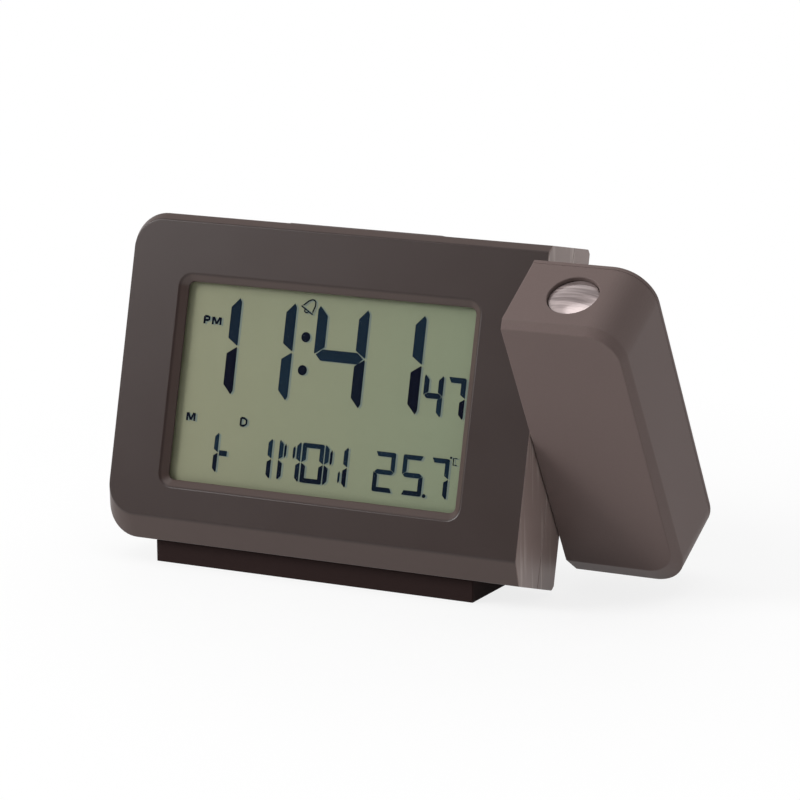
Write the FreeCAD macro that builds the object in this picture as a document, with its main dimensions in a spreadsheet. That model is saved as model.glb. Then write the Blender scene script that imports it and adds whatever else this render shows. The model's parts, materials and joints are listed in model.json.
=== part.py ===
import FreeCAD, Part
import math
import os
import re

# A projection alarm clock: a flat case with a liquid crystal display, leaning back on a foot,
# and a projector arm that turns on a hollow shaft at the case's right end.
# The case and the arm are drawn in the case frame: X along the case, Y into its depth from the
# front face, Z up the face, and are then leaned back, and the arm turned, by their placements.

doc = FreeCAD.newDocument("projection_alarm_clock")
sheet = doc.addObject("Spreadsheet::Sheet", "sizes")

# Driving sizes, in millimetres and degrees.
SIZES = {
    # overall form of the case and the arm
    "case_width": 118.5,
    "arm_width": 31.0,
    "pivot_gap": 0.5,
    "case_depth": 24.0,
    "face_bottom": 13.6,
    "face_height": 75.9,
    "top_bevel_rise": 1.8,
    "top_bevel_depth": 1.9,
    "end_bevel_run": 1.1,
    "chin_rise": 6.2,
    "chin_depth": 3.4,
    "draft_angle": 2.2,
    "corner_radius": 9.1,
    "face_corner_radius": 7.8,
    "back_bevel": 1.0,
    "wall": 2.0,
    "parting_depth": 14.3,
    "arm_parting_depth": 22.0,
    "overcut": 1.0,
    "lean_angle": 14.25,
    "arm_turn": 43.8,
    # foot
    "foot_width": 91.0,
    "foot_front": 7.15,
    "foot_depth": 42.0,
    "foot_back_height": 3.0,
    "cradle_height": 5.5,
    "foot_screw_spread": 66.0,
    "foot_screw_depth": 10.6,
    "foot_head_depth": 3.6,
    "foot_boss_height": 7.0,
    # display
    "window_width": 86.4,
    "window_height": 55.2,
    "window_left": 15.5,
    "window_bottom": 7.6,
    "window_bevel_run": 2.1,
    "window_bevel_depth": 1.5,
    "window_corner_radius": 3.8,
    "pane_thickness": 1.0,
    "pane_lap": 1.5,
    "glass_thickness": 2.0,
    "glass_lap": 2.5,
    "guide_thickness": 3.4,
    "guide_inset": 1.0,
    "frame_wall": 2.0,
    "strip_height": 2.2,
    "strip_inset": 0.6,
    "strip_end_gap": 4.0,
    "edge_lamp_side": 3.0,
    # boards
    "board_thickness": 1.2,
    "main_board_width": 103.0,
    "main_board_height": 58.0,
    "main_board_gap": 0.1,
    "post_radius": 2.3,
    "post_spread": 98.4,
    "post_height_spread": 44.0,
    "chip_left": 14.0,
    "chip_above": 5.0,
    "chip_radius": 6.0,
    "chip_height": 1.6,
    "buzzer_right": 24.0,
    "buzzer_above": 6.0,
    "buzzer_radius": 7.0,
    "buzzer_height": 3.2,
    "sensor_left": 42.0,
    "sensor_below": 20.0,
    "sensor_radius": 1.2,
    "sensor_length": 4.0,
    "key_board_width": 92.0,
    "key_board_height": 28.0,
    "key_board_bottom": 46.0,
    "key_board_gap": 4.8,
    "key_post_edge_gap": 4.0,
    "key_post_raise": 9.0,
    # screws
    "screw_radius": 1.2,
    "screw_head_radius": 2.6,
    "screw_head_height": 1.8,
    "screw_length": 10.0,
    "screw_clearance": 0.1,
    "small_screw_radius": 0.9,
    "small_head_radius": 1.8,
    "small_head_height": 1.3,
    "small_screw_length": 4.0,
    "boss_wall": 1.4,
    "case_boss_spread": 105.0,
    "case_boss_bottom_gap": 2.9,
    "case_boss_top_gap": 6.5,
    "sleeve_floor": 2.0,
    "sleeve_wall": 1.0,
    # battery bay
    "cell_radius": 5.25,
    "cell_length": 43.7,
    "cell_tip_radius": 1.9,
    "cell_tip_length": 0.8,
    "cell_gap": 0.6,
    "contact_room": 3.2,
    "contact_thickness": 0.5,
    "contact_side": 8.0,
    "spring_base_inset": 1.4,
    "spring_taper": 1.0,
    "bay_wall": 1.3,
    "bay_bottom": 15.4,
    "door_thickness": 1.2,
    "door_lap": 1.6,
    "door_clearance": 0.2,
    "door_rib_width": 1.2,
    "finger_notch_radius": 5.0,
    # keys
    "key_radius": 3.0,
    "key_flange": 0.9,
    "key_flange_thickness": 1.0,
    "key_proud": 1.0,
    "key_travel": 0.8,
    "key_clearance": 0.25,
    "key_pitch": 16.0,
    "key_height": 66.0,
    "snooze_width": 44.0,
    "snooze_depth": 5.4,
    "snooze_front": 15.5,
    "snooze_proud": 0.3,
    "snooze_flange": 0.8,
    "switch_side": 6.0,
    "switch_height": 2.2,
    "plunger_radius": 1.7,
    "plunger_height": 0.4,
    "shelf_thickness": 1.5,
    "shelf_margin": 2.0,
    "shelf_gap": 0.5,
    "slider_width": 4.0,
    "slider_height": 2.5,
    "slider_plate_thickness": 1.0,
    "slider_plate_side": 1.5,
    "slider_fork_length": 0.9,
    "slider_fork_height": 1.6,
    "slide_switch_width": 12.0,
    "slide_switch_height": 5.0,
    "slider_travel": 4.0,
    "slider_position": 34.0,
    "slider_level": 52.0,
    # pivot
    "pivot_depth": 13.3,
    "shaft_radius": 3.95,
    "shaft_bore": 2.5,
    "running_clearance": 0.05,
    "bush_radius": 6.0,
    "bush_flange": 2.0,
    "bush_flange_thickness": 1.2,
    "washer_thickness": 0.8,
    "clip_thickness": 0.8,
    "clip_radius": 6.2,
    "groove_depth": 0.6,
    "shaft_tail": 0.9,
    "shaft_flange_radius": 7.5,
    "shaft_flange_thickness": 1.5,
    "axial_play": 0.1,
    # projector
    "lens_radius": 6.2,
    "lens_left": 0.8,
    "lens_rim": 2.8,
    "lens_dome": 0.8,
    "lens_sink": 0.05,
    "lens_ring_gap": 0.25,
    "barrel_wall": 1.0,
    "barrel_length": 27.5,
    "optics_gap": 1.0,
    "slide_thickness": 1.6,
    "condenser_thickness": 3.0,
    "lamp_radius": 2.5,
    "lamp_length": 6.5,
    "lamp_gap": 0.5,
    "arm_board_width": 16.5,
    "arm_board_height": 32.0,
    "arm_board_gap": 1.7,
    "arm_board_side_gap": 1.0,
    "arm_post_rise": 4.0,
    "arm_post_drop": 12.0,
    "wire_radius": 1.6,
    "arm_boss_bottom_gap": 3.4,
    "arm_boss_top_gap": 33.5,
    "arm_boss_inset": 5.6,
    "arm_boss_step": 2.0,
    "arm_top_boss_step": 1.4,
    "arm_boss_depth": 18.0,
}
for row, (alias, number) in enumerate(SIZES.items(), 1):
    sheet.set(f"A{row}", alias.replace("_", " "))
    sheet.set(f"B{row}", str(number))
    sheet.setAlias(f"B{row}", alias)
doc.recompute()


def size(alias):
    """The number in the sheet's cell of that alias."""
    return float(sheet.get(alias))


def on_sheet(text):
    """The expression text with the sheet's name before each alias."""
    return re.sub(r"[a-z]+(?:_[a-z]+)*", lambda m: "sizes." + m[0] if m[0] in SIZES else m[0], text)


def bind(thing, **expressions):
    """Binds properties to expressions on the sheet; x, y and z are the placement's base."""
    for prop, text in expressions.items():
        path = ".Placement.Base." + prop if prop in ("x", "y", "z") else prop
        thing.setExpression(path, on_sheet(text))
    return thing


def block(name, x, y, z, length, width, height):
    """A box from its low corner and its three sides, each an expression."""
    made = doc.addObject("Part::Box", name)
    return bind(made, Length=length, Width=width, Height=height, x=x, y=y, z=z)


TURNS = {
    "x": FreeCAD.Rotation(FreeCAD.Vector(0, 1, 0), 90),
    "y": FreeCAD.Rotation(FreeCAD.Vector(1, 0, 0), -90),
    "z": FreeCAD.Rotation(),
}


def rod(name, along, x, y, z, radius, length):
    """A cylinder that starts at a point and runs along +X, +Y or +Z."""
    made = doc.addObject("Part::Cylinder", name)
    made.Placement = FreeCAD.Placement(FreeCAD.Vector(), TURNS[along])
    return bind(made, Radius=radius, Height=length, x=x, y=y, z=z)


def join(name, *things):
    made = doc.addObject("Part::MultiFuse", name)
    made.Shapes = list(things)
    return made


def group(name, *things):
    """Several separate solids in one node."""
    made = doc.addObject("Part::Compound", name)
    made.Links = list(things)
    return made


def cut(name, base, *tools):
    made = doc.addObject("Part::Cut", name)
    made.Base = base
    made.Tool = tools[0] if len(tools) == 1 else join(name + "_tools", *tools)
    return made


def meet(name, base, tool):
    made = doc.addObject("Part::Common", name)
    made.Base = base
    made.Tool = tool
    return made


def solid(name, shape):
    """A shape that no primitive or sketch feature gives, as an object of the document."""
    made = doc.addObject("Part::Feature", name)
    made.Shape = shape
    return made


# Where things lie in the case frame, worked out from the driving sizes.
left_end = -size("case_width") / 2
right_end = size("case_width") / 2 + size("pivot_gap") + size("arm_width")
rim_bottom = size("face_bottom") - size("chin_rise")
face_top = size("face_bottom") + size("face_height")
rim_top = face_top + size("top_bevel_rise")
draft = math.tan(math.radians(size("draft_angle")))
rim_tilt = (size("top_bevel_depth") - size("chin_depth")) / (rim_top - rim_bottom)
pivot_level = (rim_bottom + rim_top) / 2

PIVOT_Z = "(2 * face_bottom - chin_rise + face_height + top_bevel_rise) / 2"
CASE_END = "case_width / 2"
ARM_START = "case_width / 2 + pivot_gap"
ARM_MID = "case_width / 2 + pivot_gap + arm_width / 2"
BACK_INNER = "case_depth - wall"
RIM_TOP = "(face_bottom + face_height + top_bevel_rise)"
DRAFT = "tan(draft_angle * 1deg)"


def outline(x_low, x_high, z_low, z_high, radius, depth_at):
    """A rectangle with round corners whose depth is a function of its height."""
    def point(x, z):
        return FreeCAD.Vector(x, depth_at(z), z)

    side = radius * (1 - math.sqrt(0.5))
    edges = [
        Part.LineSegment(point(x_low + radius, z_low), point(x_high - radius, z_low)),
        Part.Arc(point(x_high - radius, z_low), point(x_high - side, z_low + side),
                 point(x_high, z_low + radius)),
        Part.LineSegment(point(x_high, z_low + radius), point(x_high, z_high - radius)),
        Part.Arc(point(x_high, z_high - radius), point(x_high - side, z_high - side),
                 point(x_high - radius, z_high)),
        Part.LineSegment(point(x_high - radius, z_high), point(x_low + radius, z_high)),
        Part.Arc(point(x_low + radius, z_high), point(x_low + side, z_high - side),
                 point(x_low, z_high - radius)),
        Part.LineSegment(point(x_low, z_high - radius), point(x_low, z_low + radius)),
        Part.Arc(point(x_low, z_low + radius), point(x_low + side, z_low + side),
                 point(x_low + radius, z_low)),
    ]
    return Part.Wire([edge.toShape() for edge in edges])


def bar(inset):
    """The case and arm as one long moulding: bevelled front, chin, drafted walls, bevelled back.
    The inset gives the hollow inside it, one wall thickness smaller all round."""
    depth = size("case_depth") - inset
    grow = draft * (size("case_depth") - size("top_bevel_depth"))
    edge = size("end_bevel_run")
    bevel = size("back_bevel")

    def ring(step_x, low, high, radius, depth_at):
        return outline(left_end + inset + step_x, right_end - inset - step_x,
                       low + inset, high - inset, radius - inset, depth_at)

    rings = [
        ring(edge, size("face_bottom"), face_top, size("face_corner_radius"), lambda z: inset),
        ring(0, rim_bottom, rim_top, size("corner_radius"),
             lambda z: inset + size("top_bevel_depth") + (z - rim_top) * rim_tilt),
        ring(0, rim_bottom - grow, rim_top + grow, size("corner_radius") + grow,
             lambda z: depth - bevel),
        ring(bevel, rim_bottom - grow + bevel, rim_top + grow - bevel,
             size("corner_radius") + grow - bevel, lambda z: depth),
    ]
    return Part.makeLoft(rings, True, True)


def span(x_low, x_high, y_low, y_high):
    """A box as tall as the case with room to spare, for splitting the moulding."""
    spare = size("case_depth")
    low = FreeCAD.Vector(x_low, y_low, rim_bottom - spare)
    return Part.makeBox(x_high - x_low, y_high - y_low, rim_top - rim_bottom + 2 * spare, low)


def half_shell(name, x_low, x_high, open_low, open_high, parting, front):
    """One half of a hollow moulding between two ends, in front of or behind the parting plane."""
    beyond = size("case_depth")
    skin = bar(0).common(span(x_low, x_high, -beyond, 2 * beyond))
    hollow = bar(size("wall")).common(span(open_low, open_high, -beyond, 2 * beyond))
    overcut = size("overcut")
    keep = span(x_low - overcut, x_high + overcut, -beyond, parting)
    if not front:
        keep = span(x_low - overcut, x_high + overcut, parting, 2 * beyond)
    return solid(name, skin.cut(hollow).common(keep))


case_low = left_end - size("overcut")
case_high = size("case_width") / 2
arm_low = case_high + size("pivot_gap")
arm_high = right_end + size("overcut")
wall = size("wall")

pieces = {}


def placeable(thing):
    """A primitive's base is bound to the sheet, so a holder carries its placement instead."""
    if thing.TypeId in ("Part::Box", "Part::Cylinder"):
        return group(thing.Name + "_holder", thing)
    return thing


def keep_case(label, thing):
    """Files a finished piece that leans with the case."""
    pieces[label] = (placeable(thing), "case")


def keep_arm(label, thing):
    """Files a finished piece that turns with the arm."""
    pieces[label] = (placeable(thing), "arm")


def screw(name, along, x, y, z, radius, length, head_radius, head_height, head_first):
    """A pan-head screw; the head lies before or after the shank along its axis."""
    place = {"x": x, "y": y, "z": z}
    head_at = dict(place)
    if head_first:
        head_at[along] = f"{place[along]} - ({head_height})"
    else:
        head_at[along] = f"{place[along]} + ({length})"
    shank = rod(name + "_shank", along, x, y, z, radius, length)
    head = rod(name + "_head", along, head_at["x"], head_at["y"], head_at["z"],
               head_radius, head_height)
    return join(name, shank, head)


# Display window: the opening in the front wall, its clear pane, and what is stacked behind it.
window_x = left_end + size("window_left")
window_z = size("face_bottom") + size("window_bottom")


def window_ring(inset, radius, depth):
    return outline(window_x + inset, window_x + size("window_width") - inset,
                   window_z + inset, window_z + size("window_height") - inset,
                   radius, lambda z: depth)


run = size("window_bevel_run")
outer_corner = size("window_corner_radius")
inner_corner = outer_corner - run
opening = solid("window_opening", Part.makeLoft([
    window_ring(0, outer_corner, -size("overcut")),
    window_ring(0, outer_corner, 0),
    window_ring(run, inner_corner, size("window_bevel_depth")),
    window_ring(run, inner_corner, wall + size("overcut")),
], True, True))

OPEN_X = "window_left + window_bevel_run - case_width / 2"
OPEN_Z = "face_bottom + window_bottom + window_bevel_run"
OPEN_W = "window_width - 2 * window_bevel_run"
OPEN_H = "window_height - 2 * window_bevel_run"
keep_case("display_window", block(
    "display_window", f"{OPEN_X} - pane_lap", "wall", f"{OPEN_Z} - pane_lap",
    f"{OPEN_W} + 2 * pane_lap", "pane_thickness", f"{OPEN_H} + 2 * pane_lap"))
GLASS_Y = "wall + pane_thickness"
GLASS_X = f"{OPEN_X} - glass_lap"
GLASS_Z = f"{OPEN_Z} - glass_lap"
GLASS_W = f"{OPEN_W} + 2 * glass_lap"
GLASS_H = f"{OPEN_H} + 2 * glass_lap"
keep_case("lcd_panel", block("lcd_panel", GLASS_X, GLASS_Y, GLASS_Z, GLASS_W,
                             "glass_thickness", GLASS_H))
GUIDE_Y = f"{GLASS_Y} + glass_thickness"
STRIP_Z = f"{GLASS_Z} + strip_inset"
GUIDE_Z = f"{STRIP_Z} + strip_height + strip_inset"
keep_case("backlight_guide", block(
    "backlight_guide", f"{GLASS_X} + 2 * guide_inset", GUIDE_Y, GUIDE_Z,
    f"{GLASS_W} - 3 * guide_inset", "guide_thickness",
    f"{GLASS_H} - 2 * strip_inset - strip_height - guide_inset"))
BOARD_Y = f"{GUIDE_Y} + guide_thickness + main_board_gap"
WINDOW_MID_Z = "(face_bottom + window_bottom + window_height / 2)"
keep_case("backlight_led", block(
    "backlight_led", f"{GLASS_X} + guide_inset / 2", f"{BOARD_Y} - edge_lamp_side",
    f"{WINDOW_MID_Z} - edge_lamp_side / 2", "1.5 * guide_inset - main_board_gap",
    "edge_lamp_side", "edge_lamp_side"))
keep_case("connector_strip", block(
    "connector_strip", f"{GLASS_X} + strip_end_gap", GUIDE_Y, STRIP_Z,
    f"{GLASS_W} - 2 * strip_end_gap",
    "guide_thickness + main_board_gap", "strip_height"))
frame_outer = block(
    "lcd_frame_outer", f"{GLASS_X} - frame_wall", "wall", f"{GLASS_Z} - frame_wall",
    f"{GLASS_W} + 2 * frame_wall", f"{BOARD_Y} - wall", f"{GLASS_H} + 2 * frame_wall")
frame_inner = block(
    "lcd_frame_inner", f"{GLASS_X} - main_board_gap", "wall - overcut",
    f"{GLASS_Z} - main_board_gap", f"{GLASS_W} + 2 * main_board_gap",
    f"{BOARD_Y} - wall + 2 * overcut", f"{GLASS_H} + 2 * main_board_gap")
keep_case("lcd_frame", cut("lcd_frame", frame_outer, frame_inner))

# Main board, on four posts of the front case, with the parts it carries.
POST_XS = ("-post_spread / 2", "post_spread / 2")
POST_ZS = (f"{WINDOW_MID_Z} - post_height_spread / 2",
           f"{WINDOW_MID_Z} + post_height_spread / 2")
BOARD_BACK = f"{BOARD_Y} + board_thickness"
board = block("main_board_blank", "-main_board_width / 2", BOARD_Y,
              f"{WINDOW_MID_Z} - main_board_height / 2", "main_board_width", "board_thickness",
              "main_board_height")
posts = []
post_holes = []
board_holes = []
board_screws = []
for i, x in enumerate(POST_XS):
    for j, z in enumerate(POST_ZS):
        tag = f"{i}{j}"
        posts.append(rod("post_" + tag, "y", x, "wall / 2", z, "post_radius",
                         f"{BOARD_Y} - wall / 2"))
        post_holes.append(rod("post_hole_" + tag, "y", x, f"{BOARD_Y} - small_screw_length", z,
                              "small_screw_radius + screw_clearance / 2",
                              "small_screw_length + overcut"))
        board_holes.append(rod("board_hole_" + tag, "y", x, f"{BOARD_Y} - overcut", z,
                               "small_screw_radius + screw_clearance",
                               "board_thickness + 2 * overcut"))
        board_screws.append(screw("board_screw_" + tag, "y", x,
                                  f"{BOARD_BACK} - small_screw_length", z, "small_screw_radius",
                                  "small_screw_length", "small_head_radius",
                                  "small_head_height", False))
keep_case("main_board", cut("main_board", board, *board_holes))
keep_case("board_screws", group("board_screws", *board_screws))
keep_case("clock_chip", rod("clock_chip", "y", "-chip_left", BOARD_BACK,
                            f"{WINDOW_MID_Z} + chip_above", "chip_radius", "chip_height"))
keep_case("buzzer", rod("buzzer", "y", "buzzer_right", BOARD_BACK,
                        f"{WINDOW_MID_Z} + buzzer_above", "buzzer_radius", "buzzer_height"))
keep_case("temperature_sensor", rod("temperature_sensor", "z", "-sensor_left",
                                    f"{BOARD_BACK} + sensor_radius",
                                    f"{WINDOW_MID_Z} - sensor_below", "sensor_radius",
                                    "sensor_length"))

# Case screws: bosses in the front half, sleeves with a counterbore in the rear half.
bosses = []
boss_holes = []
sleeves = []
sleeve_holes = []
case_screws = []
HEAD_SEAT = "parting_depth + sleeve_floor"
for i, x in enumerate(("-case_boss_spread / 2", "case_boss_spread / 2")):
    for j, z in enumerate(("face_bottom + case_boss_bottom_gap",
                           "face_bottom + face_height - case_boss_top_gap")):
        tag = f"{i}{j}"
        bosses.append(rod("boss_" + tag, "y", x, "wall / 2", z, "screw_radius + boss_wall",
                          "parting_depth - wall / 2"))
        boss_holes.append(rod("boss_hole_" + tag, "y", x,
                              f"{HEAD_SEAT} - screw_length - overcut", z,
                              "screw_radius + screw_clearance / 2", "screw_length"))
        sleeves.append(rod("sleeve_" + tag, "y", x, "parting_depth", z,
                           "screw_head_radius + screw_clearance + sleeve_wall",
                           f"{BACK_INNER} + wall / 2 - parting_depth"))
        sleeve_holes.append(rod("sleeve_hole_" + tag, "y", x, "parting_depth - overcut", z,
                                "screw_radius + screw_clearance", "case_depth"))
        sleeve_holes.append(rod("counterbore_" + tag, "y", x, HEAD_SEAT, z,
                                "screw_head_radius + screw_clearance", "case_depth"))
        case_screws.append(screw("case_screw_" + tag, "y", x, f"{HEAD_SEAT} - screw_length", z,
                                 "screw_radius", "screw_length", "screw_head_radius",
                                 "screw_head_height", False))
keep_case("case_screws", group("case_screws", *case_screws))

# Foot: a wedge block under the case that rises into a cradle behind it.
cos_lean = math.cos(math.radians(size("lean_angle")))
sin_lean = math.sin(math.radians(size("lean_angle")))


def on_floor(depth, height):
    """A point of the case frame as its distance back and its height above the floor."""
    return (height * sin_lean + depth * cos_lean, height * cos_lean - depth * sin_lean)


def underside(depth):
    """The height, up the face, of the case's underside at a depth."""
    rim_depth = size("chin_depth")
    end_depth = size("case_depth") - size("back_bevel")
    grow = draft * (size("case_depth") - size("top_bevel_depth"))
    return rim_bottom - grow * (depth - rim_depth) / (end_depth - rim_depth)


end_depth = size("case_depth") - size("back_bevel")
corner_a = on_floor(size("chin_depth"), underside(size("chin_depth")))
corner_b = on_floor(end_depth, underside(end_depth))
corner_c = on_floor(size("case_depth"), underside(end_depth) + size("back_bevel"))
slope = (corner_b[1] - corner_a[1]) / (corner_b[0] - corner_a[0])
front_height = corner_a[1] + slope * (size("foot_front") - corner_a[0])
rise = (size("cradle_height") - corner_c[1]) / cos_lean
corner_d = (corner_c[0] + rise * sin_lean, size("cradle_height"))
foot_back = size("foot_front") + size("foot_depth")
foot_mid = size("foot_front") + size("foot_depth") / 2
profile = [(size("foot_front"), 0), (size("foot_front"), front_height), corner_b, corner_c,
           corner_d, (foot_back, size("foot_back_height")), (foot_back, 0)]

# The foot is padded from its end profile, like any moulding of one section.
foot_body = doc.addObject("PartDesign::Body", "foot_body")
side_plane = [f for f in foot_body.Origin.OriginFeatures if f.Role == "YZ_Plane"][0]
foot_sketch = foot_body.newObject("Sketcher::SketchObject", "foot_profile")
foot_sketch.AttachmentSupport = (side_plane, [""])
foot_sketch.MapMode = "FlatFace"
for (y_from, z_from), (y_to, z_to) in zip(profile, profile[1:] + profile[:1]):
    foot_sketch.addGeometry(Part.LineSegment(FreeCAD.Vector(y_from, z_from, 0),
                                             FreeCAD.Vector(y_to, z_to, 0)))
foot_pad = foot_body.newObject("PartDesign::Pad", "foot_pad")
foot_pad.Profile = foot_sketch
foot_pad.Midplane = True
foot_pad.setExpression("Length", on_sheet("foot_width"))

foot_bosses = []
foot_boss_holes = []
foot_holes = []
foot_screws = []
FOOT_SEAT = "foot_head_depth + screw_head_height"
lean_turn = FreeCAD.Rotation(FreeCAD.Vector(1, 0, 0), -size("lean_angle"))
for i, x in enumerate(("-foot_screw_spread / 2", "foot_screw_spread / 2")):
    foot_bosses.append(rod(f"foot_boss_{i}", "z", x, "foot_screw_depth",
                           "face_bottom - chin_rise + wall / 2", "screw_radius + boss_wall",
                           "foot_boss_height"))
    foot_boss_holes.append(rod(f"foot_boss_hole_{i}", "z", x, "foot_screw_depth",
                               "face_bottom - chin_rise - 3 * overcut",
                               "screw_radius + screw_clearance / 2",
                               "foot_boss_height + 2 * overcut"))
    shaft_hole = rod(f"foot_shank_hole_{i}", "z", x, "foot_screw_depth", "0",
                     "screw_radius + screw_clearance", "face_bottom")
    head_hole = rod(f"foot_head_hole_{i}", "z", x, "foot_screw_depth", f"{FOOT_SEAT} - case_depth",
                    "screw_head_radius + screw_clearance", "case_depth")
    both = join(f"foot_hole_{i}", shaft_hole, head_hole)
    both.Placement = FreeCAD.Placement(FreeCAD.Vector(), lean_turn)
    foot_holes.append(both)
    foot_screws.append(screw(f"foot_screw_{i}", "z", x, "foot_screw_depth", FOOT_SEAT,
                             "screw_radius", "screw_length - 2", "screw_head_radius",
                             "screw_head_height", True))
pieces["base_foot"] = (cut("base_foot", foot_body, *foot_holes), "floor")
keep_case("foot_screws", group("foot_screws", *foot_screws))

# Battery bay: a box behind the main board, open at the back, with two cells, one above the other.
BAY_X = "cell_length + cell_tip_length + 2 * contact_room"
BAY_Z = "4 * cell_radius + 3 * cell_gap"
CELL_Y = "case_depth - door_thickness - cell_gap - cell_radius"
BAY_FLOOR = f"{CELL_Y} - cell_radius - cell_gap / 2"
bay_box = block("bay_box", f"-({BAY_X}) / 2 - bay_wall", f"{BAY_FLOOR} - bay_wall",
                "bay_bottom - bay_wall", f"{BAY_X} + 2 * bay_wall",
                f"{BACK_INNER} + wall / 2 - ({BAY_FLOOR}) + bay_wall", f"{BAY_Z} + 2 * bay_wall")
bay_hollow = block("bay_hollow", f"-({BAY_X}) / 2", BAY_FLOOR, "bay_bottom", BAY_X,
                   "case_depth", BAY_Z)
door_recess = block("door_recess", f"-({BAY_X}) / 2 - door_lap", "case_depth - door_thickness",
                    "bay_bottom - door_lap", f"{BAY_X} + 2 * door_lap", "case_depth",
                    f"{BAY_Z} + 2 * door_lap")
door_plate = block("door_plate", f"-({BAY_X}) / 2 - door_lap + door_clearance",
                   "case_depth - door_thickness + door_clearance / 4",
                   "bay_bottom - door_lap + door_clearance",
                   f"{BAY_X} + 2 * door_lap - 2 * door_clearance",
                   "door_thickness - door_clearance / 4",
                   f"{BAY_Z} + 2 * door_lap - 2 * door_clearance")
finger_notch = rod("finger_notch", "y", "0", "case_depth - door_thickness / 2",
                   f"bay_bottom + {BAY_Z} + door_lap - door_clearance",
                   "finger_notch_radius", "case_depth")
ribs = [block(f"door_rib_{i}", f"-({BAY_X}) / 6 + {i} * ({BAY_X}) / 3 - door_rib_width / 2",
              "case_depth - door_thickness - cell_gap / 2", "bay_bottom + cell_gap",
              "door_rib_width", "cell_gap / 2 + door_thickness / 2", f"{BAY_Z} - 2 * cell_gap")
        for i in range(2)]
pieces["battery_door"] = (cut("battery_door", join("door_ribbed", door_plate, *ribs),
                              finger_notch), "case")
cells = []
springs = []
plates = []
CELL_END = "cell_length + cell_tip_length"
for i in range(2):
    level = f"bay_bottom + cell_gap + cell_radius + {i} * (2 * cell_radius + cell_gap)"
    start = f"-({CELL_END}) / 2" if i == 0 else f"-({CELL_END}) / 2 + cell_tip_length"
    can = rod(f"cell_can_{i}", "x", start, CELL_Y, level, "cell_radius", "cell_length")
    tip_start = "cell_length / 2 - cell_tip_length / 2" if i == 0 else f"-({CELL_END}) / 2"
    tip = rod(f"cell_tip_{i}", "x", tip_start, CELL_Y, level, "cell_tip_radius",
              "cell_tip_length")
    cells.append(join(f"cell_{i}", can, tip))
    near = f"-({BAY_X}) / 2"
    far = f"({BAY_X}) / 2 - contact_thickness"
    spring = doc.addObject("Part::Cone", f"contact_spring_{i}")
    turn = FreeCAD.Rotation(FreeCAD.Vector(0, 1, 0), 90 if i == 0 else -90)
    spring.Placement = FreeCAD.Placement(FreeCAD.Vector(), turn)
    spring_at = f"{near} + contact_thickness" if i == 0 else far
    bind(spring, Radius1="cell_radius - spring_base_inset",
         Radius2="cell_radius - spring_base_inset - spring_taper",
         Height="contact_room - contact_thickness", x=spring_at, y=CELL_Y, z=level)
    spring_plate_x = near if i == 0 else far
    spring_plate = block(f"spring_plate_{i}", spring_plate_x, f"{CELL_Y} - contact_side / 2",
                         f"{level} - contact_side / 2", "contact_thickness", "contact_side",
                         "contact_side")
    springs.append(join(f"spring_{i}", spring, spring_plate))
    flat_x = far if i == 0 else near
    plate = block(f"flat_plate_{i}", flat_x, f"{CELL_Y} - contact_side / 2",
                  f"{level} - contact_side / 2", "contact_thickness", "contact_side",
                  "contact_side")
    bump_x = tip_start + " + cell_tip_length" if i == 0 else f"{near} + contact_thickness"
    bump = rod(f"contact_bump_{i}", "x", bump_x, CELL_Y, level, "cell_tip_radius",
               "contact_room - contact_thickness")
    plates.append(join(f"contact_{i}", plate, bump))
keep_case("battery_cells", group("battery_cells", *cells))
keep_case("battery_springs", group("battery_springs", *springs))
keep_case("battery_contacts", group("battery_contacts", *plates))

# Key board behind the rear wall, with a tactile switch under each key and a slide switch.
KEY_BOARD_Y = f"{BACK_INNER} - key_board_gap - board_thickness"
KEY_BOARD_BACK = f"{BACK_INNER} - key_board_gap"
key_blank = block("key_board_blank", "-key_board_width / 2", KEY_BOARD_Y, "key_board_bottom",
                  "key_board_width", "board_thickness", "key_board_height")
key_posts = []
key_post_holes = []
key_board_holes = []
key_screws = []
LOW_POST_Z = "key_board_bottom + key_post_edge_gap"
for i, (x, z) in enumerate((("-key_board_width / 2 + key_post_edge_gap", LOW_POST_Z),
                            ("key_board_width / 2 - key_post_edge_gap",
                             f"{LOW_POST_Z} + key_post_raise"),
                            ("0", LOW_POST_Z))):
    key_posts.append(rod(f"key_post_{i}", "y", x, KEY_BOARD_BACK, z, "post_radius",
                         "key_board_gap + wall / 2"))
    key_post_holes.append(rod(f"key_post_hole_{i}", "y", x, f"{KEY_BOARD_BACK} - overcut", z,
                              "small_screw_radius + screw_clearance / 2",
                              "small_screw_length + overcut"))
    key_board_holes.append(rod(f"key_board_hole_{i}", "y", x, f"{KEY_BOARD_Y} - overcut", z,
                               "small_screw_radius + screw_clearance",
                               "board_thickness + 2 * overcut"))
    key_screws.append(screw(f"key_screw_{i}", "y", x, KEY_BOARD_Y, z, "small_screw_radius",
                            "small_screw_length", "small_head_radius", "small_head_height", True))
keep_case("key_board", cut("key_board", key_blank, *key_board_holes))
keep_case("key_board_screws", group("key_board_screws", *key_screws))

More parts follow.
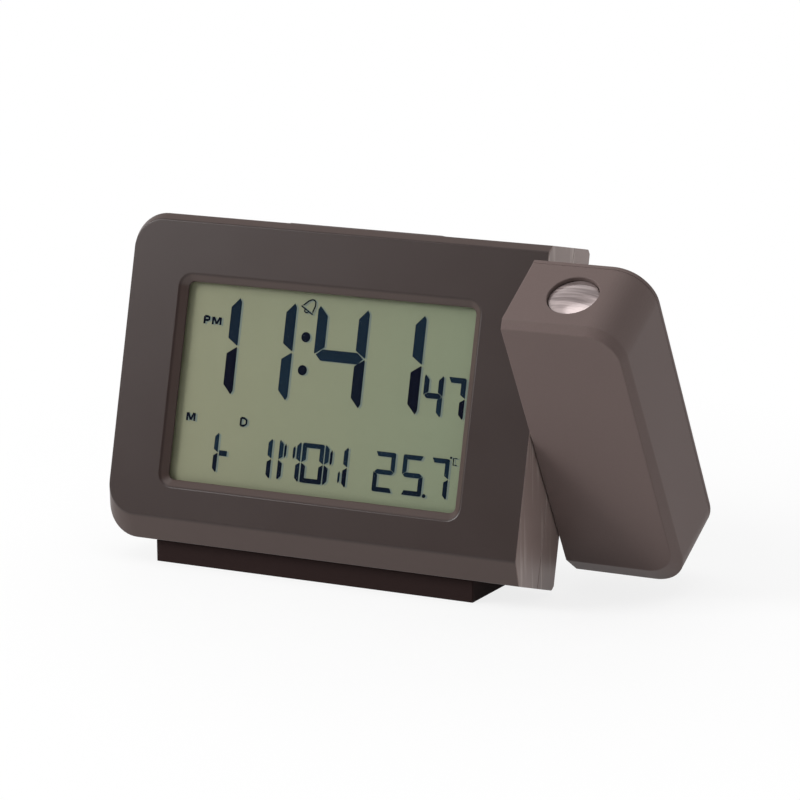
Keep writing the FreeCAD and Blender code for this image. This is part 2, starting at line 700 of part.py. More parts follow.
KEY_NAMES = ("mode_key", "up_key", "down_key", "alarm_key", "light_key")
KEY_BASE = f"{BACK_INNER} - axial_play - key_flange_thickness"
key_holes = []
tact_switches = []
for i, name in enumerate(KEY_NAMES):
    x = f"({i} - 2) * key_pitch"
    flange = rod(name + "_flange", "y", x, KEY_BASE, "key_height", "key_radius + key_flange",
                 "key_flange_thickness")
    cap = rod(name + "_cap", "y", x, KEY_BASE, "key_height", "key_radius",
              "key_flange_thickness + axial_play + wall + key_proud")
    keep_case(name, join(name, flange, cap))
    key_holes.append(rod(name + "_hole", "y", x, f"{BACK_INNER} - overcut", "key_height",
                         "key_radius + key_clearance", "wall + 2 * overcut"))
    switch = block(f"tact_body_{i}", f"{x} - switch_side / 2", KEY_BOARD_BACK,
                   "key_height - switch_side / 2", "switch_side", "switch_height", "switch_side")
    plunger = rod(f"tact_plunger_{i}", "y", x, f"{KEY_BOARD_BACK} + switch_height", "key_height",
                  "plunger_radius", "plunger_height")
    tact_switches.append(join(f"tact_{i}", switch, plunger))
keep_case("tact_switches", group("tact_switches", *tact_switches))

SLIDER_BASE = f"{BACK_INNER} - 2 * axial_play - slider_plate_thickness"
slider_flange = block("slider_flange", "slider_position - slider_width / 2 - slider_plate_side",
                      SLIDER_BASE, "slider_level - slider_height / 2 - slider_plate_thickness",
                      "slider_width + 2 * slider_plate_side", "slider_plate_thickness",
                      "slider_height + 2 * slider_plate_thickness")
slider_stem = block("slider_stem", "slider_position - slider_width / 2", SLIDER_BASE,
                    "slider_level - slider_height / 2", "slider_width",
                    "slider_plate_thickness + 2 * axial_play + wall + key_proud", "slider_height")
slider_fork = block("slider_fork", "slider_position - slider_width / 4",
                    f"{SLIDER_BASE} - slider_fork_length", "slider_level - slider_fork_height / 2",
                    "slider_width / 2", "slider_fork_length + axial_play", "slider_fork_height")
keep_case("projector_switch", join("projector_switch", slider_flange, slider_stem, slider_fork))
slider_slot = block("slider_slot", "slider_position - slider_width / 2 - key_clearance",
                    f"{BACK_INNER} - overcut", "slider_level - slider_height / 2 - key_clearance",
                    "slider_width + slider_travel + 2 * key_clearance", "wall + 2 * overcut",
                    "slider_height + 2 * key_clearance")
keep_case("slide_switch_body", block(
    "slide_switch_body", "slider_position + slider_travel / 2 - slide_switch_width / 2",
    KEY_BOARD_BACK, "slider_level - slide_switch_height / 2", "slide_switch_width",
    f"{SLIDER_BASE} - slider_fork_length - axial_play - ({KEY_BOARD_BACK})",
    "slide_switch_height"))

# Snooze bar in the top wall of the rear half, with its switch on a shelf below.
SNOOZE_TOP = f"{RIM_TOP} + (snooze_front - top_bevel_depth) * {DRAFT} + snooze_proud"
FLANGE_TOP = f"{RIM_TOP} - wall - 2 * axial_play"
SNOOZE_BASE = f"{FLANGE_TOP} - key_flange_thickness"
snooze_cap = block("snooze_cap", "-snooze_width / 2", "snooze_front", SNOOZE_BASE,
                   "snooze_width", "snooze_depth", f"{SNOOZE_TOP} - ({SNOOZE_BASE})")
snooze_flange = block("snooze_flange_plate", "-snooze_width / 2 - snooze_flange",
                      "snooze_front - snooze_flange", SNOOZE_BASE,
                      "snooze_width + 2 * snooze_flange", "snooze_depth + 2 * snooze_flange",
                      "key_flange_thickness")
keep_case("snooze_bar", join("snooze_bar", snooze_cap, snooze_flange))
snooze_hole = block("snooze_hole", "-snooze_width / 2 - key_clearance",
                    "snooze_front - key_clearance", f"{FLANGE_TOP} - overcut",
                    "snooze_width + 2 * key_clearance", "snooze_depth + 2 * key_clearance",
                    "4 * wall")
SHELF_Z = f"{SNOOZE_BASE} - key_travel - axial_play - plunger_height - 2 * switch_height"
shelf = block("snooze_shelf", "-switch_side / 2 - shelf_margin", "parting_depth + shelf_gap",
              f"{SHELF_Z} - shelf_thickness", "switch_side + 2 * shelf_margin",
              f"{BACK_INNER} + wall / 2 - parting_depth - shelf_gap", "shelf_thickness")
snooze_body = block("snooze_switch_body", "-switch_side / 2",
                    "snooze_front + snooze_depth / 2 - switch_side / 2", SHELF_Z, "switch_side",
                    "switch_side", "2 * switch_height")
snooze_plunger = rod("snooze_plunger", "z", "0", "snooze_front + snooze_depth / 2",
                     f"{SHELF_Z} + 2 * switch_height", "plunger_radius", "plunger_height")
keep_case("snooze_switch", join("snooze_switch", snooze_body, snooze_plunger))

# Pivot: a flanged bush held between the case halves, and a hollow shaft on the arm.
bush_hole = rod("bush_hole", "x", f"{CASE_END} - wall - overcut", "pivot_depth", PIVOT_Z,
                "bush_radius + screw_clearance / 2", "wall + 2 * overcut")
bush_flange = rod("bush_flange_ring", "x", f"{CASE_END} - wall - bush_flange_thickness",
                  "pivot_depth", PIVOT_Z, "bush_radius + bush_flange", "bush_flange_thickness")
bush_neck = rod("bush_neck", "x", f"{CASE_END} - wall - bush_flange_thickness", "pivot_depth",
                PIVOT_Z, "bush_radius", "wall + bush_flange_thickness")
bush_bore = rod("bush_bore", "x", f"{CASE_END} - 3 * wall", "pivot_depth", PIVOT_Z,
                "shaft_radius + running_clearance", "6 * wall")
keep_case("pivot_bush", cut("pivot_bush", join("bush_blank", bush_flange, bush_neck), bush_bore))
WASHER_X = f"{CASE_END} - wall - bush_flange_thickness - washer_thickness"
washer_disc = rod("washer_disc", "x", WASHER_X, "pivot_depth", PIVOT_Z,
                  "bush_radius + bush_flange / 2", "washer_thickness")
washer_bore = rod("washer_bore", "x", f"{WASHER_X} - overcut", "pivot_depth", PIVOT_Z,
                  "shaft_radius + 2 * running_clearance", "washer_thickness + 2 * overcut")
keep_case("friction_washer", cut("friction_washer", washer_disc, washer_bore))
CLIP_X = f"{WASHER_X} - axial_play - clip_thickness"
SHAFT_END = f"{CLIP_X} - shaft_tail"
shaft_tube = rod("shaft_tube", "x", SHAFT_END, "pivot_depth", PIVOT_Z, "shaft_radius",
                 f"{ARM_START} + wall + shaft_flange_thickness - ({SHAFT_END})")
shaft_flange = rod("shaft_flange", "x", f"{ARM_START} + wall", "pivot_depth", PIVOT_Z,
                   "shaft_flange_radius", "shaft_flange_thickness")
shaft_hollow = rod("shaft_hollow", "x", f"{SHAFT_END} - overcut", "pivot_depth", PIVOT_Z,
                   "shaft_bore", "case_depth")
groove_disc = rod("groove_disc", "x", CLIP_X, "pivot_depth", PIVOT_Z,
                  "shaft_radius + overcut", "clip_thickness")
groove_core = rod("groove_core", "x", f"{CLIP_X} - overcut", "pivot_depth", PIVOT_Z,
                  "shaft_radius - groove_depth", "clip_thickness + 2 * overcut")
clip_groove = cut("clip_groove", groove_disc, groove_core)
keep_arm("pivot_shaft", cut("pivot_shaft", join("shaft_blank", shaft_tube, shaft_flange),
                            shaft_hollow, clip_groove))
clip_disc = rod("clip_disc", "x", CLIP_X, "pivot_depth", PIVOT_Z, "clip_radius",
                "clip_thickness")
clip_bore = rod("clip_bore", "x", f"{CLIP_X} - overcut", "pivot_depth", PIVOT_Z,
                "shaft_radius - groove_depth + running_clearance",
                "clip_thickness + 2 * overcut")
clip_slot = block("clip_slot", f"{CLIP_X} - overcut",
                  "pivot_depth - shaft_radius + groove_depth - running_clearance",
                  f"{PIVOT_Z} - 2 * clip_radius", "clip_thickness + 2 * overcut",
                  "2 * (shaft_radius - groove_depth + running_clearance)", "2 * clip_radius")
keep_arm("retaining_clip", cut("retaining_clip", clip_disc, clip_bore, clip_slot))
keep_arm("pivot_wires", rod("pivot_wires", "x", f"{SHAFT_END} - overcut", "pivot_depth", PIVOT_Z,
                            "wire_radius", f"arm_width / 2 + ({CASE_END}) - ({SHAFT_END})"))

# Case halves.
case_parting = size("parting_depth")
front_blank = half_shell("front_shell", case_low, case_high, case_low, case_high - wall,
                         case_parting, True)
rear_blank = half_shell("rear_shell", case_low, case_high, case_low, case_high - wall,
                        case_parting, False)
keep_case("front_case", cut("front_case", join("front_joined", front_blank, *posts, *bosses,
                                               *foot_bosses),
                            opening, bush_hole, *post_holes, *boss_holes, *foot_boss_holes))
keep_case("rear_case", cut("rear_case", join("rear_joined", rear_blank, *sleeves, *key_posts,
                                             shelf, bay_box),
                           bay_hollow, door_recess, bush_hole, snooze_hole, slider_slot,
                           *key_holes, *sleeve_holes, *key_post_holes))

# Arm: a deep shell and a thin rear lid, with the projector's optics in a barrel under the lens in
# its top end. The lid's sleeves reach in to the shell's bosses.
arm_bosses = []
arm_boss_holes = []
arm_sleeves = []
arm_sleeve_holes = []
arm_screws = []
ARM_HEAD_SEAT = "arm_boss_depth + sleeve_floor"
ARM_LEFT = f"{ARM_START} + arm_boss_inset + arm_boss_step"
ARM_RIGHT = f"{ARM_START} + arm_width - arm_boss_inset"
ARM_LOW = "face_bottom + arm_boss_bottom_gap"
ARM_HIGH = "face_bottom + face_height - arm_boss_top_gap"
for i, (x, z) in enumerate(((ARM_LEFT, ARM_LOW), (f"{ARM_RIGHT} - arm_boss_step", ARM_LOW),
                            (f"{ARM_RIGHT} - arm_top_boss_step", ARM_HIGH))):
    arm_bosses.append(rod(f"arm_boss_{i}", "y", x, "wall / 2", z, "screw_radius + boss_wall",
                          "arm_boss_depth - wall / 2"))
    arm_boss_holes.append(rod(f"arm_boss_hole_{i}", "y", x,
                              f"{ARM_HEAD_SEAT} - screw_length - overcut", z,
                              "screw_radius + screw_clearance / 2", "screw_length"))
    arm_sleeves.append(rod(f"arm_sleeve_{i}", "y", x, "arm_boss_depth", z,
                           "screw_head_radius + screw_clearance + sleeve_wall",
                           f"{BACK_INNER} + wall / 2 - arm_boss_depth"))
    arm_sleeve_holes.append(rod(f"arm_sleeve_hole_{i}", "y", x, "arm_boss_depth - overcut", z,
                                "screw_radius + screw_clearance", "case_depth"))
    arm_sleeve_holes.append(rod(f"arm_counterbore_{i}", "y", x, ARM_HEAD_SEAT, z,
                                "screw_head_radius + screw_clearance", "case_depth"))
    arm_screws.append(screw(f"arm_screw_{i}", "y", x, f"{ARM_HEAD_SEAT} - screw_length", z,
                            "screw_radius", "screw_length", "screw_head_radius",
                            "screw_head_height", False))
keep_arm("arm_screws", group("arm_screws", *arm_screws))

LENS_X = f"{ARM_MID} - lens_left"
LENS_Y = "case_depth / 2"
ARM_TOP = f"{RIM_TOP} + (case_depth / 2 - top_bevel_depth) * {DRAFT}"
LENS_TOP = f"{ARM_TOP} - lens_sink"
lens_hole = rod("lens_hole", "z", LENS_X, LENS_Y, f"{ARM_TOP} - 2 * wall",
                "lens_radius + lens_ring_gap", "4 * wall")
lens_rod = rod("lens_rod", "z", LENS_X, LENS_Y, f"{LENS_TOP} - lens_dome - lens_rim",
               "lens_radius", "lens_dome + lens_rim")
dome = doc.addObject("Part::Sphere", "lens_dome_ball")
DOME_RADIUS = "(lens_radius ^ 2 / lens_dome + lens_dome) / 2"
bind(dome, Radius=DOME_RADIUS, x=LENS_X, y=LENS_Y, z=f"{LENS_TOP} - {DOME_RADIUS}")
keep_arm("projection_lens", meet("projection_lens", lens_rod, dome))
BARREL_TOP = f"{RIM_TOP} - wall - axial_play"
BARREL_BOTTOM = f"{BARREL_TOP} - barrel_length"
barrel_tube = rod("barrel_tube", "z", LENS_X, LENS_Y, BARREL_BOTTOM,
                  "lens_radius + axial_play + barrel_wall", "barrel_length")
barrel_bore = rod("barrel_bore", "z", LENS_X, LENS_Y, f"{BARREL_BOTTOM} - overcut",
                  "lens_radius + axial_play", "barrel_length + 2 * overcut")
keep_arm("lens_barrel", cut("lens_barrel", barrel_tube, barrel_bore))
keep_arm("projector_slide", rod("projector_slide", "z", LENS_X, LENS_Y,
                                f"{BARREL_BOTTOM} + 3 * optics_gap + condenser_thickness",
                                "lens_radius",
                                "slide_thickness"))
keep_arm("condenser_lens", rod("condenser_lens", "z", LENS_X, LENS_Y,
                               f"{BARREL_BOTTOM} + optics_gap",
                               "lens_radius", "condenser_thickness"))
ARM_BOARD_Y = "pivot_depth + wire_radius + running_clearance"
ARM_BOARD_Z = f"{BARREL_BOTTOM} - arm_board_gap - arm_board_height"
arm_posts = []
for i, z in enumerate((f"{ARM_BOARD_Z} + arm_post_rise",
                       f"{BARREL_BOTTOM} - arm_board_gap - arm_post_drop")):
    arm_posts.append(rod(f"arm_post_{i}", "y", ARM_MID, f"{ARM_BOARD_Y} + board_thickness", z,
                         "post_radius",
                         f"{BACK_INNER} + wall / 2 - ({ARM_BOARD_Y}) - board_thickness"))
keep_arm("arm_board", block(
    "arm_board", f"{ARM_START} + wall + shaft_flange_thickness + arm_board_side_gap", ARM_BOARD_Y,
    ARM_BOARD_Z, "arm_board_width", "board_thickness", "arm_board_height"))
lamp_base = rod("lamp_base", "z", LENS_X, f"{ARM_BOARD_Y} - lamp_radius",
                f"{BARREL_BOTTOM} - lamp_length - lamp_gap", "lamp_radius",
                "lamp_length - lamp_radius")
lamp_tip = doc.addObject("Part::Sphere", "lamp_tip")
bind(lamp_tip, Radius="lamp_radius", x=LENS_X, y=f"{ARM_BOARD_Y} - lamp_radius",
     z=f"{BARREL_BOTTOM} - lamp_radius - lamp_gap")
keep_arm("projector_led", join("projector_led", lamp_base, lamp_tip))

shaft_hole = rod("arm_shaft_hole", "x", f"{ARM_START} - overcut", "pivot_depth", PIVOT_Z,
                 "shaft_radius + running_clearance", "wall + 2 * overcut")
arm_parting = size("arm_parting_depth")
arm_front_blank = half_shell("arm_front_blank", arm_low, arm_high, arm_low + wall, arm_high,
                             arm_parting, True)
arm_rear_blank = half_shell("arm_rear_blank", arm_low, arm_high, arm_low + wall, arm_high,
                            arm_parting, False)
keep_arm("arm_front_shell", cut("arm_front_shell",
                                join("arm_front_joined", arm_front_blank, *arm_bosses),
                                shaft_hole, lens_hole, *arm_boss_holes))
keep_arm("arm_rear_shell", cut("arm_rear_shell",
                               join("arm_rear_joined", arm_rear_blank, *arm_sleeves, *arm_posts),
                               *arm_sleeve_holes))

# Placements: everything is moved so that the origin is the middle of the foot's underside.
to_origin = FreeCAD.Placement(FreeCAD.Vector(0, -foot_mid, 0), FreeCAD.Rotation())
leaned = to_origin.multiply(FreeCAD.Placement(FreeCAD.Vector(), lean_turn))
pivot_point = FreeCAD.Vector(0, size("pivot_depth"), pivot_level)
arm_rotation = FreeCAD.Rotation(FreeCAD.Vector(1, 0, 0), size("arm_turn"))
turned = leaned.multiply(FreeCAD.Placement(FreeCAD.Vector(), arm_rotation, pivot_point))
PLACES = {"floor": to_origin, "case": leaned, "arm": turned}
doc.recompute()
for label, (thing, place) in pieces.items():
    for other in doc.getObjectsByLabel(label):
        other.Label = label + "_base"
    thing.Label = label
    thing.Placement = PLACES[place]
doc.recompute()

for thing in doc.Objects:
    bad = [state for state in thing.State if state in ("Invalid", "Error")]
    if bad:
        raise RuntimeError(f"{thing.Name} failed: {bad}")
for label, (thing, place) in pieces.items():
    if thing.Shape.isNull() or not thing.Shape.isValid():
        raise RuntimeError(f"{label} has no valid shape")

os.makedirs("parts", exist_ok=True)
for label, (thing, place) in pieces.items():
    thing.Shape.exportStep(f"parts/{label}.step")

pivot = leaned.multVec(pivot_point)
print("pivot", round(pivot.y, 4), round(pivot.z, 4))
for label, (thing, place) in pieces.items():
    box = thing.Shape.BoundBox
    print(label, len(thing.Shape.Solids), round(thing.Shape.Volume, 1),
          [round(v, 2) for v in (box.XMin, box.XMax, box.YMin, box.YMax, box.ZMin, box.ZMax)])
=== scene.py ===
import bmesh
import bpy
import json
import math
import numpy as np
from mathutils import Matrix, Vector


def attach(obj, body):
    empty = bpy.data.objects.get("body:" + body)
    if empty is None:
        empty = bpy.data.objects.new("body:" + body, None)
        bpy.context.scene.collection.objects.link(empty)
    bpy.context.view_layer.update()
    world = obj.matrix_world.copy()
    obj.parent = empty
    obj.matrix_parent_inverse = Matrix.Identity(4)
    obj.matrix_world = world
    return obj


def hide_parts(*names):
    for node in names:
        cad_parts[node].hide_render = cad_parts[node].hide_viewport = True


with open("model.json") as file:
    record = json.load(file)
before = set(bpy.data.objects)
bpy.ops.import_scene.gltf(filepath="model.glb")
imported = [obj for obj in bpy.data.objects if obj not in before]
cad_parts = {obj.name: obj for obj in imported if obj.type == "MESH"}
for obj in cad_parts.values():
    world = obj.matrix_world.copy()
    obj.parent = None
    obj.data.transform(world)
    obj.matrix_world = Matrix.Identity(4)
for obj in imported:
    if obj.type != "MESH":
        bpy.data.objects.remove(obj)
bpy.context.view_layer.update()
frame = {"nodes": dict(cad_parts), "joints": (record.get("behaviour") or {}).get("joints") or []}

# Camera: the viewpoint of the photograph, a long lens a little above the clock and well to its
# right, found by fitting the case's straight edges. Metres, counted from the foot's middle.
YAW, PITCH, ROLL = (math.radians(angle) for angle in (27.63, 12.62, 0.36))
CAMERA_PLACE = (0.45010, -0.83196, 0.25446)
LENS_MM, SENSOR_MM = 171.0, 36.0
NEAREST, FURTHEST = 0.05, 20.0


def put_in_scene(name, data):
    """A new object for a mesh, a lamp or a camera, in the scene's own collection."""
    made = bpy.data.objects.new(name, data)
    bpy.context.scene.collection.objects.link(made)
    return made


side = Vector((math.cos(YAW), math.sin(YAW), 0))
ahead = Vector((-math.sin(YAW) * math.cos(PITCH), math.cos(YAW) * math.cos(PITCH),
                -math.sin(PITCH)))
above = side.cross(ahead)
across = side * math.cos(ROLL) - above * math.sin(ROLL)
upward = side * math.sin(ROLL) + above * math.cos(ROLL)
camera = put_in_scene("camera", bpy.data.cameras.new("camera"))
camera.matrix_world = Matrix.Translation(CAMERA_PLACE) @ Matrix(
    (across, upward, -ahead)).transposed().to_4x4()
camera.data.lens, camera.data.sensor_width = LENS_MM, SENSOR_MM
camera.data.clip_start, camera.data.clip_end = NEAREST, FURTHEST
bpy.context.scene.camera = camera
bpy.context.scene.view_settings.view_transform = "Standard"


# Table top: plain pale paper. Looked at directly, or in gloss or through glass, it is mostly its
# own white, wholly so away from the clock, and the rest of it shows the clock's shadow.
class Wire:
    """A shader socket with arithmetic, so that a mask reads as a sum on paper."""

    def __init__(self, tree, socket):
        self.tree, self.socket = tree, socket

    def maths(self, operation, other):
        """A Math node on this value and another, which may be a number or a wire."""
        node = self.tree.nodes.new("ShaderNodeMath")
        node.operation = operation
        for slot, value in enumerate((self, other)):
            if isinstance(value, Wire):
                self.tree.links.new(value.socket, node.inputs[slot])
            else:
                node.inputs[slot].default_value = value
        return Wire(self.tree, node.outputs[0])

    def __add__(self, other):
        return self.maths("ADD", other)

    def __sub__(self, other):
        return self.maths("SUBTRACT", other)

    def __mul__(self, other):
        return self.maths("MULTIPLY", other)

    def __rsub__(self, other):
        return (self * -1.0) + other

    __radd__, __rmul__ = __add__, __mul__

    def low(self, other):
        """The lower of the two."""
        return self.maths("MINIMUM", other)

    def high(self, other):
        """The higher of the two."""
        return self.maths("MAXIMUM", other)

    def held(self):
        """This value, kept between 0 and 1."""
        return self.high(0.0).low(1.0)


class Nodes:
    """The nodes of a material or of the world."""

    def __init__(self, owner):
        owner.use_nodes = True
        self.tree = owner.node_tree

    def node(self, kind, settings=None, output=0, inputs=None, **sockets):
        """Any node but a Math node: its settings come first, then the values or wires of its
        sockets, by number in inputs or by name with _ for a space. Gives one output."""
        node = self.tree.nodes.new("ShaderNode" + kind)
        for name, value in (settings or {}).items():
            setattr(node, name, value)
        self.feed(node, {**sockets, **(inputs or {})})
        return Wire(self.tree, node.outputs[output])

    def feed(self, node, sockets):
        """Gives a node's sockets their values or wires."""
        for name, value in sockets.items():
            socket = node.inputs[name.replace("_", " ") if isinstance(name, str) else name]
            if isinstance(value, Wire):
                self.tree.links.new(value.socket, socket)
            else:
                socket.default_value = value


class Finish(Nodes):
    """A material with one Principled shader, patterned in object coordinates."""

    def __init__(self, name, colour, roughness, **sockets):
        self.material = bpy.data.materials.new(name)
        super().__init__(self.material)
        self.shader = self.tree.nodes["Principled BSDF"]
        self.set(Base_Color=(*colour, 1.0), Roughness=roughness, **sockets)
        self.place = self.node("TexCoord", output="Object")

    def set(self, **sockets):
        """Gives the shader's own sockets their values or wires."""
        self.feed(self.shader, sockets)

    def noise(self, scale, detail=3.0):
        """Noise over the piece; scale counts its features per metre."""
        return self.node("TexNoise", Vector=self.place, Scale=scale, Detail=detail)

    def streaks(self, scales, detail, turn=0.0):
        """Noise with a scale of its own along each axis, turned about the upright."""
        return self.node("TexNoise", Vector=self.node(
            "Mapping", Vector=self.place, Rotation=(0.0, 0.0, turn), Scale=scales),
            Scale=1.0, Detail=detail)

    def bump(self, height, strength, distance):
        """Lets a height tilt the surface's shading."""
        self.set(Normal=self.node("Bump", Height=height, Strength=strength, Distance=distance))

    def blend(self, factor, first, second):
        """One colour turning into another as the factor goes from 0 to 1."""
        ends = [end if isinstance(end, Wire) else (*end, 1.0) for end in (first, second)]
        return self.node("Mix", {"data_type": "RGBA"}, 2, {0: factor, 6: ends[0], 7: ends[1]})


FLOOR_REACH = 6.0
PAPER_WHITE = (0.86, 0.86, 0.86)
PAPER_ROUGHNESS, PAPER_UNEVEN, PAPER_CLOUDS = 0.6, 0.1, 40.0
WHITE_NEAR = 0.82
FADE_PER_METRE, FADE_START = 8.5, 0.9

sheet = bpy.data.meshes.new("floor")
sheet.from_pydata([(-FLOOR_REACH, -FLOOR_REACH, 0), (FLOOR_REACH, -FLOOR_REACH, 0),
                   (FLOOR_REACH, FLOOR_REACH, 0), (-FLOOR_REACH, FLOOR_REACH, 0)],
                  [], [(0, 1, 2, 3)])
floor = put_in_scene("floor", sheet)
paper = Finish("floor_paper", PAPER_WHITE, PAPER_ROUGHNESS)
paper.set(Roughness=paper.noise(PAPER_CLOUDS) * PAPER_UNEVEN
          + (PAPER_ROUGHNESS - PAPER_UNEVEN / 2))
looked_at = (paper.node("LightPath", output="Is Camera Ray")
             + paper.node("LightPath", output="Is Glossy Ray")
             + paper.node("LightPath", output="Is Transmission Ray"))
away = paper.node("VectorMath", {"operation": "LENGTH"}, "Value", Vector=paper.place)
fade = (away * FADE_PER_METRE - FADE_START).held()
white = paper.node("Emission", Color=(1, 1, 1, 1), Strength=1.0)
lit = Wire(paper.tree, paper.shader.outputs[0])
table = paper.node("MixShader", inputs={
    0: looked_at * (fade * (1.0 - WHITE_NEAR) + WHITE_NEAR), 1: lit, 2: white})
paper.feed(paper.tree.nodes["Material Output"], {"Surface": table})
floor.data.materials.append(paper.material)

# The air around the clock: white where it is looked at, and otherwise bright behind the clock and
# dim in front of it, so that the dark plastic takes its sheen from behind and stays dark in front.
BEHIND_SLOPE, BEHIND_MIDDLE = 0.8, 0.45
BEHIND_LEVEL, FRONT_LEVEL = 0.7, 0.12

world = bpy.data.worlds.new("studio")
bpy.context.scene.world = world
air = Nodes(world)
heading = air.node("SeparateXYZ", output="Y", Vector=air.node("TexCoord", output="Generated"))
behind = (heading * BEHIND_SLOPE + BEHIND_MIDDLE).held()
direct = (air.node("LightPath", output="Is Camera Ray")
          + air.node("LightPath", output="Is Transmission Ray"))
air.feed(air.tree.nodes["Background"], {
    "Color": (1, 1, 1, 1), "Strength": direct.high(behind * BEHIND_LEVEL + FRONT_LEVEL)})

# Lamps: three soft boxes, the main one to the left, a broad one overhead and a faint one behind
# to the right. Each line gives a lamp's name, its place, what it points at, its size and watts.
SOFT_BOXES = (("left_box", (-0.85, -0.62, 0.62), (0, 0, 0.04), 0.55, 0.55, 12.6),
              ("top_box", (0.1, -0.3, 1.4), (0, 0, 0.04), 1.2, 1.0, 7.0),
              ("right_box", (1.3, 0.6, 0.3), (0.06, 0, 0.04), 0.5, 0.4, 0.25))

for name, at, towards, width, height, watts in SOFT_BOXES:
    lamp = bpy.data.lights.new(name, "AREA")
    lamp.shape = "RECTANGLE"
    lamp.size, lamp.size_y, lamp.energy = width, height, watts
    turned = (Vector(towards) - Vector(at)).to_track_quat("-Z", "Y")
    put_in_scene(name, lamp).matrix_world = (Matrix.Translation(at)
                                             @ turned.to_matrix().to_4x4())


# Case shells and battery door: two halves moulded in dark taupe plastic with a fine satin spark
# texture, closed by four screws from behind, and a door of the same plastic that clips in. The
# bevels get a painted highlight, a paler colour for the light that they catch, and the end face
# that the arm turns against gets a painted sheen, paler and streaked.
MM = 0.001


def seen(red, green, blue):
    """A colour as read off a screen, 0 to 255, in the linear values that a shader takes."""
    return tuple(((c / 255 + 0.055) / 1.055) ** 2.4 if c > 10 else c / 3294
                 for c in (red, green, blue))


def extent(node, direction):
    """How far a node reaches along a direction, lowest and highest, in metres."""
    mesh = frame["nodes"][node].data
    points = np.zeros(len(mesh.vertices) * 3, np.float32)
    mesh.vertices.foreach_get("co", points)
    reach = points.reshape(-1, 3).astype(float) @ direction
    return reach.min(), reach.max()


def dress(made, finish, body, replaces=(), smooth=False):
    """Gives a new piece its finish, the body that it rides on, and the nodes that it
    stands for."""
    made.data.materials.clear()
    made.data.materials.append(finish.material)
    made.data.polygons.foreach_set("use_smooth", np.full(len(made.data.polygons), smooth))
    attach(made, body)
    if replaces:
        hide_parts(*replaces)
    return made


CREASE = math.radians(16.0)
WELD = 2e-6
FLAT_WITHIN = math.radians(0.6)
EDGE_STEPS = 2
FLAT_FACE_WEIGHT = 100


def softened(node, finish, body, radius):
    """A copy of a construction solid with its edges broken as a mould breaks them: the loose
    triangles are welded, flat areas are made whole, and each edge that is sharper than the
    crease angle gets a small round of the given radius."""
    work = bmesh.new()
    work.from_mesh(frame["nodes"][node].data)
    bmesh.ops.remove_doubles(work, verts=work.verts, dist=WELD)
    bmesh.ops.dissolve_limit(work, angle_limit=FLAT_WITHIN, verts=work.verts, edges=work.edges)
    mesh = bpy.data.meshes.new(node + "_finished")
    work.to_mesh(mesh)
    work.free()
    mesh.set_sharp_from_angle(angle=CREASE)
    made = dress(put_in_scene(node + "_finished", mesh), finish, body, (node,), True)
    edge = made.modifiers.new("edge", "BEVEL")
    edge.width, edge.segments = radius, EDGE_STEPS
    edge.limit_method, edge.angle_limit = "ANGLE", CREASE
    edge.use_clamp_overlap = False
    flats = made.modifiers.new("flats", "WEIGHTED_NORMAL")
    flats.mode, flats.weight, flats.keep_sharp = "FACE_AREA", FLAT_FACE_WEIGHT, True


SPARK, SPARK_STRENGTH, SPARK_DEEP = 2600.0, 0.2, 0.03 * MM
CLOUDS, GLOSS_CLOUDS = 30.0, 60.0
TONE_SPREAD, GLOSS_SPREAD = 0.12, 0.08


def moulded(name, colour, roughness, gloss):
    """Satin moulded plastic: a fine spark texture in the bump and in the tone, and a faint cloud
    in tone and in gloss. The body colour is kept as .body, for a piece that adds to it."""
    made = Finish(name, colour, roughness, Specular_IOR_Level=gloss)
    spark = made.noise(SPARK, 2.0)
    made.body = made.blend(made.noise(CLOUDS, 5.0) * 0.5 + spark * 0.5,
                           tuple(c * (1.0 - TONE_SPREAD) for c in colour),
                           tuple(c * (1.0 + TONE_SPREAD) for c in colour))
    made.set(Base_Color=made.body, Roughness=made.noise(GLOSS_CLOUDS, 4.0) * GLOSS_SPREAD
             + (roughness - GLOSS_SPREAD / 2))
    made.bump(spark, SPARK_STRENGTH, SPARK_DEEP)
    return made


# Directions of the leaned case, from the keys' travel: into the case, and up its face.
press = next(joint["axis"] for joint in frame["joints"] if joint["name"] == "mode_key_press")
INTO = -np.array(press, float)
UP_FACE = np.array([0, -INTO[2], INTO[1]])
ALONG = np.array([1.0, 0, 0])

# The paler bevel colour is a painted highlight, for the light that the bevels catch.
CASE_TAUPE, PAINTED_BEVEL_HIGHLIGHT = seen(47, 34, 31), seen(70, 56, 52)
BEVELS_FROM, BEVELS_START = 0.1 * MM, 3000.0
BEVELS_TO, BEVELS_STOP = 5.2 * MM, 700.0
END_FACE, END_START = 59.0 * MM, 4000.0
# Painted sheen on the end face that the arm turns against: two pale colours mixed in upright
# streaks.
SHEEN_STREAKS, SHEEN_STREAK_LEVEL, SHEEN_STREAK_CONTRAST = (300.0, 620.0, 30.0), 0.56, 6.0
END_SHEEN_DULL, END_SHEEN_BRIGHT = seen(150, 132, 127), seen(196, 182, 176)

case_plastic = moulded("case_plastic", CASE_TAUPE, roughness=0.38, gloss=0.38)
depth = case_plastic.node("VectorMath", {"operation": "DOT_PRODUCT"}, "Value", {
    0: case_plastic.place, 1: tuple(INTO)}) - extent("front_case", INTO)[0]
# Mask of the painted highlight: the surfaces from just behind the face to 5.2 mm in, the bevels.
bevel_highlight_mask = ((depth - BEVELS_FROM) * BEVELS_START).held().low(
    ((BEVELS_TO - depth) * BEVELS_STOP).held())
end_sheen_mask = ((case_plastic.node("SeparateXYZ", Vector=case_plastic.place) - END_FACE)
            * END_START).held()
sheen_streak_mask = ((case_plastic.streaks(SHEEN_STREAKS, 5.0) - SHEEN_STREAK_LEVEL) * SHEEN_STREAK_CONTRAST).held()
